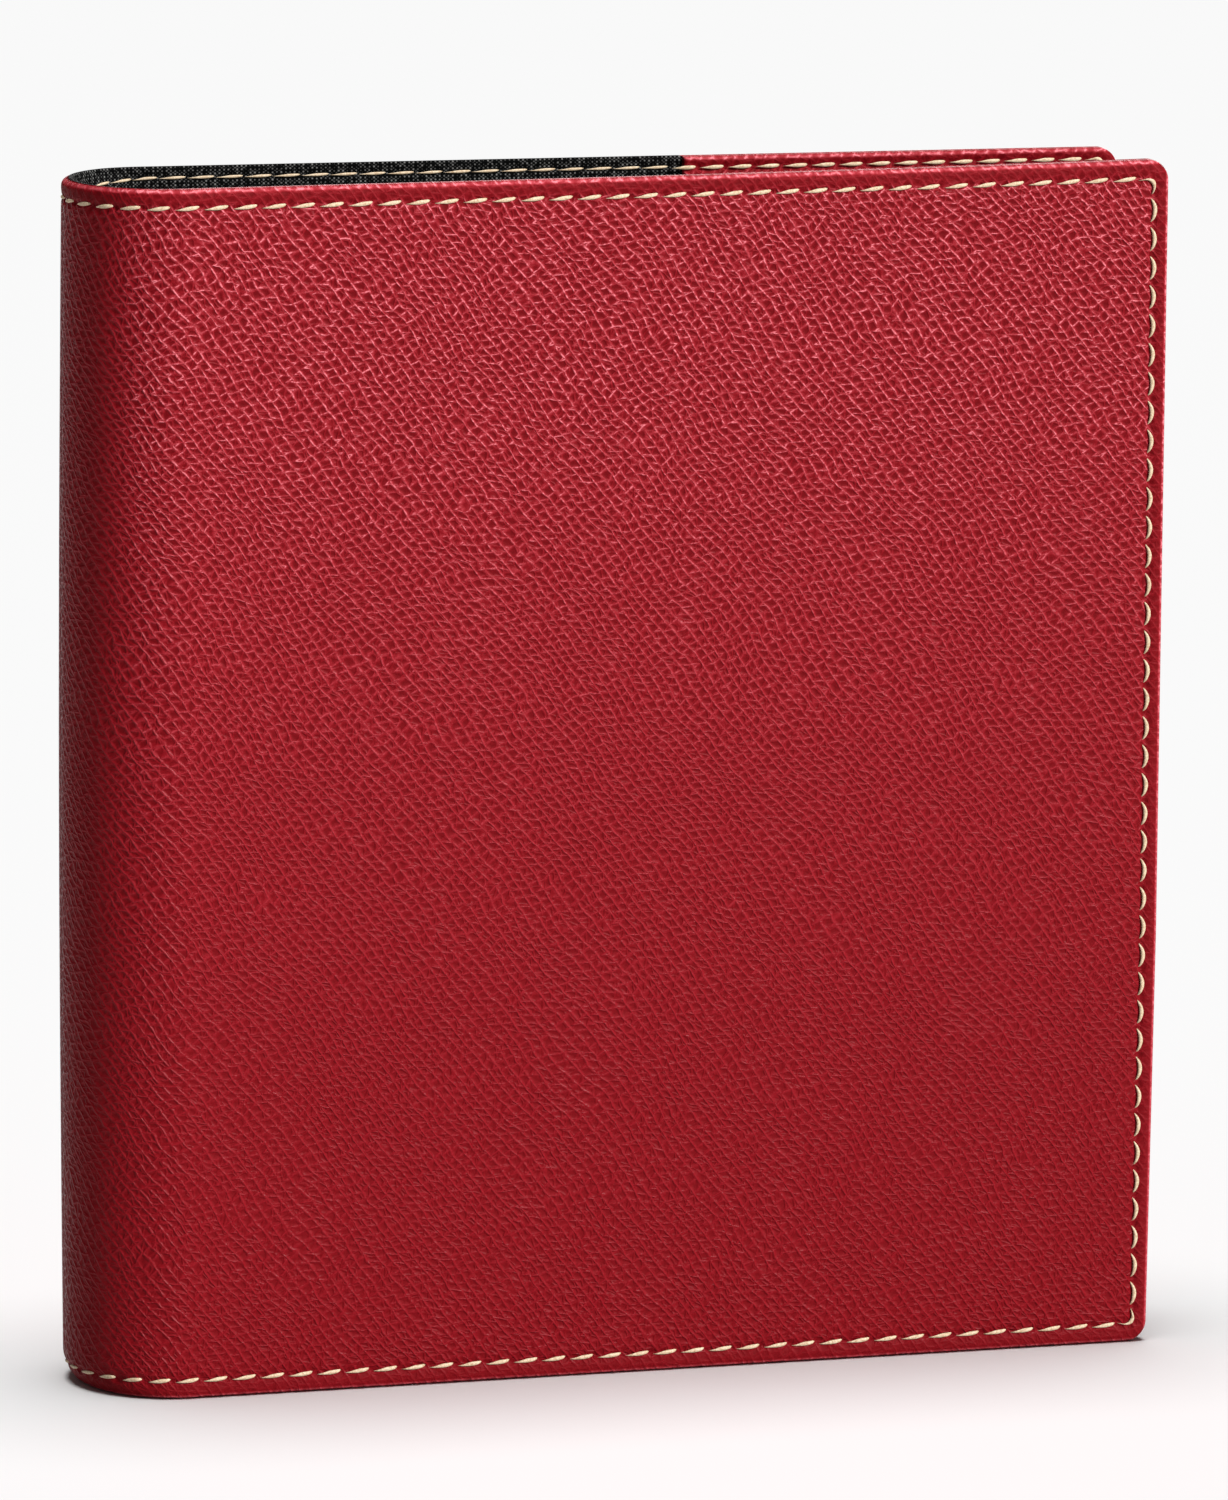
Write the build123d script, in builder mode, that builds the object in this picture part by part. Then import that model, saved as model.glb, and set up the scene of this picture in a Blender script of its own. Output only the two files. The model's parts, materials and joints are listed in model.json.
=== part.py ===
"""Stamp album: a stitched leatherette jacket with pocket flaps that holds a slip-in stock book.

The closed album stands upright on the bottom edges of its covers. X runs from the round spine to the
fore-edge, Y from the front cover to the back cover, and Z up. The origin is the centre of the footprint.
All sizes are in millimetres. FRONT is the side towards -Y and BACK the side towards +Y.
"""

import os
from math import asin, atan2, cos, degrees, radians, sin

from build123d import *

FRONT, BACK = -1, 1
SIDE_NAMES = {FRONT: "front", BACK: "back"}

# Jacket
HEIGHT = 210.0
WIDTH = 193.0
SPINE_RADIUS = 18.0
FORE_EDGE_DEPTH = 28.0
LEATHER = 2.0
LINING = 0.6
CORNER_RADIUS = 4.2
LIP_RADIUS = 1.2
HINGE_GAP = 0.15
INNER_CORNER_RADIUS = 1.0  # of the recess, the stiffener and the pocket

# Seam: a thread on the outside and one on the inside, locked together through the layers
SEAM_INSET = 3.0
THREAD_WIDTH = 0.9
THREAD = 0.35

# Stiffener boards, let into the inside of the leather
STIFFENER = 0.9
STIFFENER_INSET = 9.0
STIFFENER_CLEARANCE = 0.3

# Pocket flaps
FLAP_SHARE = 0.455  # of the cover's length
FLAP = 1.2
POCKET_GAP = 1.0
FLAP_RIM = 4.0

# Stock book's boards, spine strip, guards and sewing
BOOK_BOARD = 0.8
BOOK_BOARD_HEIGHT = 201.0
BOOK_BOARD_START = 6.0
BOOK_BOARD_END = 5.0  # short of the fore-edge
BOOK_CORNER = 2.0
STRIP_OUTER_X = -77.9
STRIP = 0.8
STRIP_HALF_WIDTH = 14.0
GUARD = 0.8
GUARD_CLEARANCE = 1.0
SEWING_THREAD = 0.4
SEWING_LENGTH = 22.0
SEWING_PITCH = 32.0
SEWING_COUNT = 6
JOINT_CLOTH = 0.4
JOINT_CLOTH_END_X = -73.5
JOINT_CLOTH_END_DEPTH = 3.1
JOINT_CLOTH_LAP = 1.0  # where it is glued to the spine strip

# Leaves
LEAVES_PER_SIDE = 5
LEAF_PIVOT_X = -70.5
LEAF_PITCH = 2.5  # at the pivots
LEAF_FORE_PITCH = 1.75  # at the fore-edge
LEAF_WIDTH = 161.0
LEAF_HEIGHT = 198.0
LEAF_START = 0.15
LEAF_CORNER = 3.0
PAGE = 0.5
FILM = 0.2
FILM_ROWS = 7
FILM_HEIGHT = 23.0
FILM_PITCH = 27.0
FILM_START = 10.0
FILM_END = 4.0
INTERLEAF = 0.1
INTERLEAF_GAP = 0.05
INTERLEAF_START = 2.0
INTERLEAF_MARGIN = 1.5
INTERLEAF_GLUE = 3.0  # the width of the edge that is glued to the page

# How a part is made, with no effect on its size
CUT_OVERRUN = 1.0  # how far a cut starts outside the part
SAME_DIRECTION = 0.999  # the cosine above which a face counts as facing a direction

# Worked out from the sizes above
MIDDLE_Z = HEIGHT / 2
WALL = LEATHER + LINING
HINGE_X = -WIDTH / 2 + SPINE_RADIUS
COVER_REACH = WIDTH / 2 - HINGE_X
TAPER = degrees(asin((SPINE_RADIUS - FORE_EDGE_DEPTH / 2) / COVER_REACH))
COVER_LENGTH = COVER_REACH / cos(radians(TAPER))
FLAP_START = (1 - FLAP_SHARE) * COVER_LENGTH
STRIP_INNER_X = STRIP_OUTER_X + STRIP
LEAF_LEAN = degrees(atan2(LEAF_PITCH - LEAF_FORE_PITCH, LEAF_WIDTH))  # per pitch from the middle


def panel_plane(x, y, lean, side, depth):
    """A vertical plane that leans inwards by lean degrees, set in by depth and facing the middle."""
    angle = radians(lean)
    along = (cos(angle), -side * sin(angle), 0)
    inward = (-sin(angle), -side * cos(angle), 0)
    origin = (x + depth * inward[0], y + depth * inward[1], MIDDLE_Z)
    return Plane(origin=origin, x_dir=along, z_dir=inward)


def cover_plane(side, depth=0.0):
    """The plane at a given depth below a cover's outer face, starting at its hinge."""
    return panel_plane(HINGE_X, side * SPINE_RADIUS, TAPER, side, depth)


def leaf_plane(side, place, depth):
    """The plane at a given depth from the middle of a leaf, positive towards the album's middle."""
    steps = place + 0.5
    return panel_plane(LEAF_PIVOT_X, side * steps * LEAF_PITCH, steps * LEAF_LEAN, side, depth)


def rounded_end(start, reach, height, corner):
    """Draw a shape that is square at its start and rounded at its two far corners."""
    with Locations(((start + reach) / 2, 0)):
        Rectangle(reach - start, height)
    fillet(vertices().group_by(Axis.X)[-1], corner)


def seam_band(start):
    """Draw the seam's line along the top, round the fore-edge and along the bottom."""
    outer = SEAM_INSET - THREAD_WIDTH / 2
    inner = SEAM_INSET + THREAD_WIDTH / 2
    rounded_end(start, COVER_LENGTH - outer, HEIGHT - 2 * outer, CORNER_RADIUS - outer)
    low = start - CUT_OVERRUN
    high = COVER_LENGTH - inner
    with Locations(((low + high) / 2, 0)):
        RectangleRounded(high - low, HEIGHT - 2 * inner, CORNER_RADIUS - inner, mode=Mode.SUBTRACT)


def seam_rows(start, end):
    """Draw only the top and bottom rows of the seam."""
    for level in (-1, 1):
        with Locations(((start + end) / 2, level * (MIDDLE_Z - SEAM_INSET))):
            Rectangle(end - start, THREAD_WIDTH)


def spine_ring(outer_depth, inner_depth):
    """Draw the half-round layer of the spine between two depths below its outer surface."""
    with Locations((HINGE_X, 0)):
        Circle(SPINE_RADIUS - outer_depth)
        Circle(SPINE_RADIUS - inner_depth, mode=Mode.SUBTRACT)
        with Locations((-SPINE_RADIUS, 0)):
            Rectangle(2 * SPINE_RADIUS, 4 * SPINE_RADIUS, mode=Mode.INTERSECT)


def seam_levels():
    """The height of the lower side of each seam row."""
    return (SEAM_INSET - THREAD_WIDTH / 2, HEIGHT - SEAM_INSET - THREAD_WIDTH / 2)


def finish(part, name):
    """Label a finished piece and write it to its own file."""
    part.label = name
    export_step(part, f"parts/{name}.step")


os.makedirs("parts", exist_ok=True)


# Round spine

with BuildPart() as spine_leather:
    with BuildSketch():
        spine_ring(0, LEATHER)
    extrude(amount=HEIGHT)
    rims = spine_leather.edges().filter_by(GeomType.CIRCLE).sort_by(SortBy.LENGTH)[-2:]
    fillet(rims, LIP_RADIUS)
    for level in seam_levels():
        with BuildSketch(Plane.XY.offset(level)):
            spine_ring(0, THREAD)
        extrude(amount=THREAD_WIDTH, mode=Mode.SUBTRACT)
finish(spine_leather.part, "spine_leather")

with BuildPart() as spine_lining:
    with BuildSketch():
        spine_ring(LEATHER, WALL)
    extrude(amount=HEIGHT)
finish(spine_lining.part, "spine_lining")

with BuildPart() as spine_seam_thread:
    for level in seam_levels():
        with BuildSketch(Plane.XY.offset(level)):
            spine_ring(0, THREAD)
        extrude(amount=THREAD_WIDTH)
        with BuildSketch(Plane.XY.offset(level)):
            spine_ring(WALL, WALL + THREAD)
        extrude(amount=THREAD_WIDTH)
finish(spine_seam_thread.part, "spine_seam_thread")


# Covers

for side in (FRONT, BACK):
    name = SIDE_NAMES[side]

    with BuildPart() as leather:
        with BuildSketch(cover_plane(side)):
            rounded_end(HINGE_GAP, COVER_LENGTH, HEIGHT, CORNER_RADIUS)
        extrude(amount=LEATHER)
        outward = -cover_plane(side).z_dir
        outer_faces = leather.faces().filter_by(
            lambda face: face.normal_at().dot(outward) > SAME_DIRECTION
        )
        fillet(outer_faces.edges().sort_by(Axis.X)[1:], LIP_RADIUS)
        with BuildSketch(cover_plane(side, LEATHER - STIFFENER)):
            rounded_end(
                STIFFENER_INSET,
                COVER_LENGTH - STIFFENER_INSET,
                HEIGHT - 2 * STIFFENER_INSET,
                INNER_CORNER_RADIUS,
            )
        extrude(amount=STIFFENER, mode=Mode.SUBTRACT)
        with BuildSketch(cover_plane(side)):
            seam_band(HINGE_GAP)
        extrude(amount=THREAD, mode=Mode.SUBTRACT)
    finish(leather.part, f"{name}_cover_leather")

    with BuildPart() as stiffener:
        with BuildSketch(cover_plane(side, LEATHER - STIFFENER)):
            inset = STIFFENER_INSET + STIFFENER_CLEARANCE
            rounded_end(inset, COVER_LENGTH - inset, HEIGHT - 2 * inset, INNER_CORNER_RADIUS)
        extrude(amount=STIFFENER)
    finish(stiffener.part, f"{name}_cover_stiffener")

    with BuildPart() as lining:
        with BuildSketch(cover_plane(side, LEATHER)):
            rounded_end(HINGE_GAP, COVER_LENGTH, HEIGHT, CORNER_RADIUS)
        extrude(amount=LINING)
    finish(lining.part, f"{name}_cover_lining")

    with BuildPart() as flap:
        with BuildSketch(cover_plane(side, WALL)):
            rounded_end(FLAP_START, COVER_LENGTH, HEIGHT, CORNER_RADIUS)
        extrude(amount=POCKET_GAP + FLAP)
        with BuildSketch(cover_plane(side, WALL)):
            rounded_end(
                FLAP_START - CUT_OVERRUN,
                COVER_LENGTH - FLAP_RIM,
                HEIGHT - 2 * FLAP_RIM,
                INNER_CORNER_RADIUS,
            )
        extrude(amount=POCKET_GAP, mode=Mode.SUBTRACT)
    finish(flap.part, f"{name}_pocket_flap")

    with BuildPart() as seam_thread:
        with BuildSketch(cover_plane(side)):
            seam_band(HINGE_GAP)
        extrude(amount=THREAD)
        with BuildSketch(cover_plane(side, WALL)):
            seam_rows(HINGE_GAP, FLAP_START - HINGE_GAP)
        extrude(amount=THREAD)
        with BuildSketch(cover_plane(side, WALL + POCKET_GAP + FLAP)):
            seam_band(FLAP_START)
        extrude(amount=THREAD)
    finish(seam_thread.part, f"{name}_seam_thread")

    with BuildPart() as book_board:
        with BuildSketch(cover_plane(side, WALL)):
            rounded_end(
                BOOK_BOARD_START, COVER_LENGTH - BOOK_BOARD_END, BOOK_BOARD_HEIGHT, BOOK_CORNER
            )
        extrude(amount=BOOK_BOARD)
    finish(book_board.part, f"{name}_book_board")

    with BuildPart() as book_joint:
        with BuildSketch(Plane.XY.offset(MIDDLE_Z - LEAF_HEIGHT / 2)):
            with BuildLine():
                start_y = side * STRIP_HALF_WIDTH
                end_y = side * (SPINE_RADIUS - JOINT_CLOTH_END_DEPTH - JOINT_CLOTH)
                Polyline(
                    (STRIP_INNER_X, start_y - side * JOINT_CLOTH_LAP),
                    (STRIP_INNER_X, start_y),
                    (JOINT_CLOTH_END_X, end_y),
                    (JOINT_CLOTH_END_X, end_y - side * JOINT_CLOTH),
                    (STRIP_INNER_X + JOINT_CLOTH, start_y - side * JOINT_CLOTH_LAP),
                    close=True,
                )
            make_face()
        extrude(amount=LEAF_HEIGHT)
    finish(book_joint.part, f"{name}_book_joint_cloth")


# Stock book's spine

guard_length = LEAF_PIVOT_X - GUARD_CLEARANCE - STRIP_INNER_X
leaf_rows = [side * (i + 0.5) * LEAF_PITCH for side in (FRONT, BACK) for i in range(LEAVES_PER_SIDE)]

with BuildPart() as book_spine_strip:
    with BuildSketch(Plane.XY.offset(MIDDLE_Z - BOOK_BOARD_HEIGHT / 2)):
        with Locations((STRIP_OUTER_X + STRIP / 2, 0)):
            Rectangle(STRIP, 2 * STRIP_HALF_WIDTH)
    extrude(amount=BOOK_BOARD_HEIGHT)
finish(book_spine_strip.part, "book_spine_strip")

with BuildPart() as leaf_guards:
    with BuildSketch(Plane.XY.offset(MIDDLE_Z - LEAF_HEIGHT / 2)):
        with Locations([(STRIP_INNER_X + guard_length / 2, y) for y in leaf_rows]):
            Rectangle(guard_length, GUARD)
    extrude(amount=LEAF_HEIGHT)
finish(leaf_guards.part, "leaf_guards")

with BuildPart() as book_sewing_thread:
    sewing_levels = [MIDDLE_Z + (i - (SEWING_COUNT - 1) / 2) * SEWING_PITCH for i in range(SEWING_COUNT)]
    with BuildSketch(Plane(origin=(STRIP_OUTER_X, 0, 0), x_dir=(0, 1, 0), z_dir=(-1, 0, 0))):
        with Locations([(y, -level) for y in leaf_rows for level in sewing_levels]):
            Rectangle(SEWING_THREAD, SEWING_LENGTH)
    extrude(amount=SEWING_THREAD)
finish(book_sewing_thread.part, "book_sewing_thread")


# Leaves, numbered from the front cover to the back cover

leaf_places = [(FRONT, i) for i in reversed(range(LEAVES_PER_SIDE))]
leaf_places += [(BACK, i) for i in range(LEAVES_PER_SIDE)]

for number, (side, place) in enumerate(leaf_places, start=1):
    with BuildPart() as page:
        with BuildSketch(leaf_plane(side, place, -PAGE / 2)):
            rounded_end(LEAF_START, LEAF_WIDTH, LEAF_HEIGHT, LEAF_CORNER)
        extrude(amount=PAGE)
    finish(page.part, f"leaf_{number:02d}_page")

    with BuildPart() as films:
        film_levels = [(i - (FILM_ROWS - 1) / 2) * FILM_PITCH for i in range(FILM_ROWS)]
        for depth in (-PAGE / 2 - FILM, PAGE / 2):
            with BuildSketch(leaf_plane(side, place, depth)):
                with Locations([((FILM_START + LEAF_WIDTH - FILM_END) / 2, y) for y in film_levels]):
                    Rectangle(LEAF_WIDTH - FILM_END - FILM_START, FILM_HEIGHT)
            extrude(amount=FILM)
    finish(films.part, f"leaf_{number:02d}_film_strips")

    # The interleaf lies on the leaf's back, the face towards +Y, and is glued along its inner edge.
    reach = PAGE / 2 + FILM + INTERLEAF_GAP
    sheet_depth = reach if side == FRONT else -reach - INTERLEAF
    glue_depth = PAGE / 2 if side == FRONT else -reach
    with BuildPart() as interleaf:
        with BuildSketch(leaf_plane(side, place, sheet_depth)):
            rounded_end(
                INTERLEAF_START,
                LEAF_WIDTH - INTERLEAF_MARGIN,
                LEAF_HEIGHT - 2 * INTERLEAF_MARGIN,
                LEAF_CORNER,
            )
        extrude(amount=INTERLEAF)
        with BuildSketch(leaf_plane(side, place, glue_depth)):
            with Locations((INTERLEAF_START + INTERLEAF_GLUE / 2, 0)):
                Rectangle(INTERLEAF_GLUE, LEAF_HEIGHT - 2 * INTERLEAF_MARGIN)
        extrude(amount=reach - PAGE / 2)
    finish(interleaf.part, f"leaf_{number:02d}_interleaf")
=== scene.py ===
import json
import math

import bmesh
import bpy
import numpy as np
from mathutils import Matrix, Vector

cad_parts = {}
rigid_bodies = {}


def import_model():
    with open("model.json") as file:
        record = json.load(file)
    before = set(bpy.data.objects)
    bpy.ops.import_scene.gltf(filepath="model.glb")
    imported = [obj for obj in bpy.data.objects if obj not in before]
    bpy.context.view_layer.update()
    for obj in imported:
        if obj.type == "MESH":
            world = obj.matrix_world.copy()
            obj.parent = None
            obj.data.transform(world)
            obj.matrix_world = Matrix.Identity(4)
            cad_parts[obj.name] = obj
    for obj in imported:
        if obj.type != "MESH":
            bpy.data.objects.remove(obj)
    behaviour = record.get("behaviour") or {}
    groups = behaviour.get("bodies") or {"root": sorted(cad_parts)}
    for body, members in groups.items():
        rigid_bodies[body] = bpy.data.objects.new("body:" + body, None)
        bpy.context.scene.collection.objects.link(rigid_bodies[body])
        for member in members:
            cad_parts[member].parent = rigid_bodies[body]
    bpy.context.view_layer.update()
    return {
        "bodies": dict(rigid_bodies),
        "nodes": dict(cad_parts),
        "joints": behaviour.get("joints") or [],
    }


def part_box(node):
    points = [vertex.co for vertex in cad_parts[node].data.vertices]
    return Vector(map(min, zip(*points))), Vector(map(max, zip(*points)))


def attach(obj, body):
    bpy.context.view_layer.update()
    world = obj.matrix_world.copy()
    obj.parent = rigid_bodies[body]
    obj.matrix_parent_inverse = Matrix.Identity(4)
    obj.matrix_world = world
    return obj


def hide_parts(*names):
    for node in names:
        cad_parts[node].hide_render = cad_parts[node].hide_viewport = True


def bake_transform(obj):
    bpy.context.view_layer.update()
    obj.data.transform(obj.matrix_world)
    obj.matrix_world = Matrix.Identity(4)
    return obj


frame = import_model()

# Stamp album: a stitched leatherette jacket around a slip-in stock book. Lengths are in metres.
# A place on the jacket is (s, z, depth): s runs along the outer surface from the middle of the round
# spine to the fore-edge, z is the height, and depth goes inwards from the outer surface.

MM = 0.001
FRONT, BACK = -1, 1
SIDE_NAMES = {FRONT: "front", BACK: "back"}

# Read from the frame
LOW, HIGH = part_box("spine_leather")
HEIGHT = HIGH[2] - LOW[2]
FORE_EDGE_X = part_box("front_cover_leather")[1][0]
JOINTS = {joint["name"]: joint for joint in frame["joints"]}
HINGE_X = JOINTS["back_hinge"]["pos_m"][0]
SPINE_RADIUS = JOINTS["back_hinge"]["pos_m"][1]
STRIP_INNER_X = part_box("book_spine_strip")[1][0]
STRIP_HALF_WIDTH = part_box("book_spine_strip")[1][1]
LEAF_LOW_Z, LEAF_HIGH_Z = (corner[2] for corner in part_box("leaf_01_page"))
FLAP_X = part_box("front_pocket_flap")[0][0]

# Jacket
FORE_EDGE_Y = 14.0 * MM  # half of the album's depth at the fore-edge
LEATHER = 2.0 * MM
LINING = 0.6 * MM
LINING_RISE = 0.1 * MM  # how far the lining stands above the leather where it is in view
LINING_DROP = 0.5 * MM  # how much lower it ends under the flap and along the front cover
WALL = LEATHER + LINING
FLAP = 1.0 * MM
FLAP_LIP = 0.7 * FLAP
BOARD_DEPTH = WALL + 0.9 * MM
CORNER_RADIUS = 3.7 * MM
LIP_RADIUS = 1.3 * MM
SKIVING = 0.8 * MM  # how much thinner the leather is along the ends of the spine
SKIVED_EDGE = 1.0 * MM, 4.0 * MM  # distances from the edge at which it is fully and no longer thinned
SKIVED_SPINE = 9.0 * MM  # it grows over this length before a hinge
SWELL = 0.10 * MM  # how uneven the outer surface is
SWELL_WAVES = 11 * MM, 13 * MM  # along the skin, and up
SWELL_MARGIN, SWELL_GROWTH, SWELL_START = 8 * MM, 20 * MM, 40 * MM
GLUE_GAP = 0.01 * MM  # keeps the faces of two glued layers apart
POCKET_RISE = 1.05 * MM  # how far a flap stands off the cover behind its seam
POCKET_EDGE = 2.2 * MM, 4.8 * MM  # distances from the edge over which it rises

# How the jacket has gone out of shape
FRONT_LIFT = 0.6 * MM  # how far the front cover's top corner has crept up
CREEP = 0.8 * MM  # how far the front cover's fore-edge stands out, and the back cover's stands in
CREEP_START = 0.35  # the share of the height over which it grows from nothing at the bottom
CREEP_POWER = 5  # how much of either is left to the last part of a cover
SPINE_BOW = 0.6 * MM  # how far the spine bows outwards at mid-height
TUCK = 2.4 * MM  # how far the spine's bottom end is turned in
TUCK_REACH = 5.5 * MM  # and up to what height

# Seam
STITCH_PITCH = 5.06 * MM
NEEDLE_SHARE = 0.86  # the part of the pitch that a stitch covers, outside and on the flaps
BOBBIN_SHARE = 0.97  # and on the lining, where the thread lies flatter and thinner
STITCH_SLANT = math.radians(7.0)
BOBBIN_SLANT = 0.35  # of the slant outside
STITCH_BULGE = 0.70 * MM  # how far a stitch along the fore-edge bows outwards
STITCH_SKEW = 0.45  # how far its fullest part is moved to its upper end
STITCH_TAPER = 2.6, 0.62  # the powers that round it off along its length
STITCH_END = 0.03  # what is left of its radius at the ends, before the second power
PROUD_SPINE, PROUD_COVER = 0.2, 0.9  # how far the thread's axis stands out of the leather, in radii
HOLE_DIVE = 1.6  # how deep its ends dive, in radii
NEEDLE_RADIUS = 0.35 * MM
BOBBIN_RADIUS = 0.24 * MM
SEAM_INSET = {FRONT: 3.25 * MM, BACK: 1.9 * MM}
SEAM_SIDE_INSET = 2.9 * MM
SEAM_CORNER = 1.6 * MM
SEAM_STEP = 0.25 * MM  # between the points of its path
THREAD_SIDES = 10
STITCH_RINGS = 15
THREAD_FLATNESS = 0.8
THREAD_TWIST = 2.5
PLY_RELIEF = 0.07
GROOVE_DEPTH = 0.22 * MM
GROOVE_WIDTH = 0.75 * MM
HOLE_DEPTH = 0.50 * MM
HOLE_WIDTH = 0.55 * MM
HOLE_REACH = 2.0 * MM  # a hole pulls nothing in beyond this
FLAP_HOLE = 0.7  # of the depth of a hole outside
LINING_RIB = 0.2 * MM  # how far the lining is raised along the seam
LINING_FALL, LINING_FALL_WIDTH = 0.15 * MM, 0.3 * MM  # how its edge is rounded

# The bend between the round spine and a cover
BEND_AFTER = 8.0 * MM

# Spacing of the meshes' grid lines
LEATHER_GRID = STITCH_PITCH / 6
LINING_GRID = 1.6 * MM
STRIP_GRID = 24, 12  # points along a strip of cloth, and up it

# Cloth of the stock book
GUARD_THICKNESS = 0.72 * MM
GUARD_REACH = 1.8 * MM  # past the hinge of its leaf
JOINT_CLOTH = 0.3 * MM
GLUED_LENGTH = 5.0 * MM  # how much of a joint cloth is glued to its board

# Grain of the leatherette, in millimetres on its surface. Four numbers in a row are what fade() takes:
# the start and the end of a change, and the values there. Two numbers of a noise are scale and detail.
GRAIN_CELL = 1.75
GRAIN_ANGLES = math.radians(-52), math.radians(14)
GRAIN_WANDER = ((38.0, 7.0), (10.0, 1.9), (3.6, 0.80), (1.3, 0.30))  # wavelengths and amounts
GRAIN_STAGGER = 0.8  # how far a column of cells is shifted along the next, in cells
GRAIN_LEAN = 1.1  # how far a cross ridge rises or falls over its cell
LONG_RIDGE, CROSS_RIDGE, SHOULDER = 0.24, 0.23, 0.44  # half widths, in cells
LONG_PRESENCE = 0.30, 0.55, 0.45, 1.0  # long ridges are weak where the noise is low,
CROSS_PRESENCE = 0.42, 0.66, 1.0, 0.45  # and cross ridges where it is high
FACET_SCALE, FACET_WIDTH, FACET_STRENGTH = 0.62, 0.17, 0.62  # smaller folds between the ridges
PRESSED_GRAIN = 1.6, 3.8, 0.45, 1.0  # the seam's margin is pressed flat
PAINTED_LIP_HIGHLIGHT_BAND = 0.45, 0.95  # a painted highlight along the fold of the edge, fading out inwards
# the painted highlight along the edge rises from the very edge to full strength
PAINTED_LIP_HIGHLIGHT_EDGE = 0.0, 0.30, 0.45, 1.0
# patches of strong and weak painted highlight on the ridges
PAINTED_HIGHLIGHT_PATCHES = 0.34, 0.64, 0.55, 1.0
PAINTED_LIGHT_HEIGHTS = 20.0, 195.0  # painted highlight and painted relief shade, weakest at the bottom and strongest at the top
# Their strengths at those heights: the painted highlight on the ridges, the painted relief shade, and
# an even lift of the colour that makes up for less relief shade
PAINTED_HIGHLIGHT_BY_HEIGHT, PAINTED_RELIEF_SHADE_BY_HEIGHT, RELIEF_SHADE_OFFSET_BY_HEIGHT = (0.16, 1.0), (0.22, 0.42), (0.11, 0.0)
SHADED_SPINE_HIGHLIGHT_FADE = 12.0, 21.0, 0.15, 1.0  # the painted highlights on the ridges are weak over the round spine, where it lies in shade
# The middle noise places the patches of painted highlight on the ridges.
RIDGE_NOISE, PAINTED_HIGHLIGHT_NOISE, PORE_NOISE = (0.55, 2.0), (1.5, 1.5), (2.6, 3.0)
PAINTED_HIGHLIGHT_TONE, PORE_TONE, PAINTED_LIP_HIGHLIGHT_TONE = 0.60, 0.35, 0.62  # how much each lightens the colour: the painted highlight on the ridges, the random pores, and the painted highlight along the edge
SHOULDER_RELIEF, LINE_RELIEF, PORE_RELIEF = 0.35, 0.65, 0.20
GRAIN_DEPTH = 0.24 * MM
LEATHER_ROUGHNESS = 0.1, 0.9, 0.62, 0.30  # worn ridges are smoother
LEATHER_SPECULAR = 0.06
WEFT_PITCH = 0.8  # of the pitch of a cloth's ribs
# Colours of the leatherette, from the dark of the cells, which holds painted shade, to the pink of the
# painted highlights on the ridges and the edge.
LEATHER_TONES = (
    (0.0, (0.105, 0.0004, 0.0020)),
    (0.30, (0.155, 0.0025, 0.0055)),
    (0.50, (0.200, 0.0072, 0.0120)),
    (0.66, (0.243, 0.0145, 0.0210)),
    (0.84, (0.355, 0.0450, 0.0570)),
    (1.0, (0.600, 0.1500, 0.1760)),
)

COVER_SLOPE = math.asin((SPINE_RADIUS - FORE_EDGE_Y) / (FORE_EDGE_X - HINGE_X))
SPINE_LENGTH = SPINE_RADIUS * math.pi / 2  # from the middle of the spine to a hinge
COVER_LENGTH = (FORE_EDGE_X - HINGE_X) / math.cos(COVER_SLOPE)
TOTAL_LENGTH = SPINE_LENGTH + COVER_LENGTH
FLAP_START = SPINE_LENGTH + (FLAP_X - HINGE_X) / math.cos(COVER_SLOPE)
BOARD_START = SPINE_LENGTH + 6.0 * MM


# Shape of the jacket


def jacket_points(side, s, z, depth):
    """Points of the row frame for places on the jacket, as arrays."""
    s, z, depth = np.broadcast_arrays(*(np.asarray(v, float) for v in (s, z, depth)))
    beyond = np.maximum(s - SPINE_LENGTH, 0)
    turn = np.minimum(s, SPINE_LENGTH) / SPINE_RADIUS
    x = HINGE_X - SPINE_RADIUS * np.cos(turn) + beyond * math.cos(COVER_SLOPE)
    y = SPINE_RADIUS * np.sin(turn) - beyond * math.sin(COVER_SLOPE)
    bow = SPINE_BOW * np.sin(math.pi * np.clip(z / HEIGHT, 0, 1))
    tuck = TUCK * np.clip(1 - z / TUCK_REACH, 0, 1) ** 2
    x = x - (bow - tuck) * np.cos(turn)
    turn = turn + COVER_SLOPE * np.clip(beyond / BEND_AFTER, 0, 1)
    towards_edge = (s / TOTAL_LENGTH) ** CREEP_POWER
    x = x - side * CREEP * towards_edge * np.clip(z / (CREEP_START * HEIGHT), 0, 1)
    if side == FRONT:
        z = z + FRONT_LIFT * towards_edge * z / HEIGHT
    return np.stack([x + depth * np.cos(turn), side * (y - depth * np.sin(turn)), z], axis=-1)


def rounded_corners(s, z):
    """Move a square grid onto the jacket's rounded outline.

    It returns s, z and the distance to the outline.
    """
    right = TOTAL_LENGTH - s
    edge = np.minimum(z, HEIGHT - z)
    inset = np.minimum(right, edge)
    corner = (right < CORNER_RADIUS) & (edge < CORNER_RADIUS)
    room = np.maximum(CORNER_RADIUS - inset, 1e-9)
    along = (np.maximum(right, edge) - inset) / room
    on_side = right <= edge
    angle = np.where(on_side, math.pi / 4 * (1 - along), math.pi / 4 * (1 + along))
    new_right = CORNER_RADIUS - room * np.cos(angle)
    new_edge = CORNER_RADIUS - room * np.sin(angle)
    right = np.where(corner, new_right, right)
    edge = np.where(corner, new_edge, edge)
    return TOTAL_LENGTH - right, np.where(z > HEIGHT / 2, HEIGHT - edge, edge), inset


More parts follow.
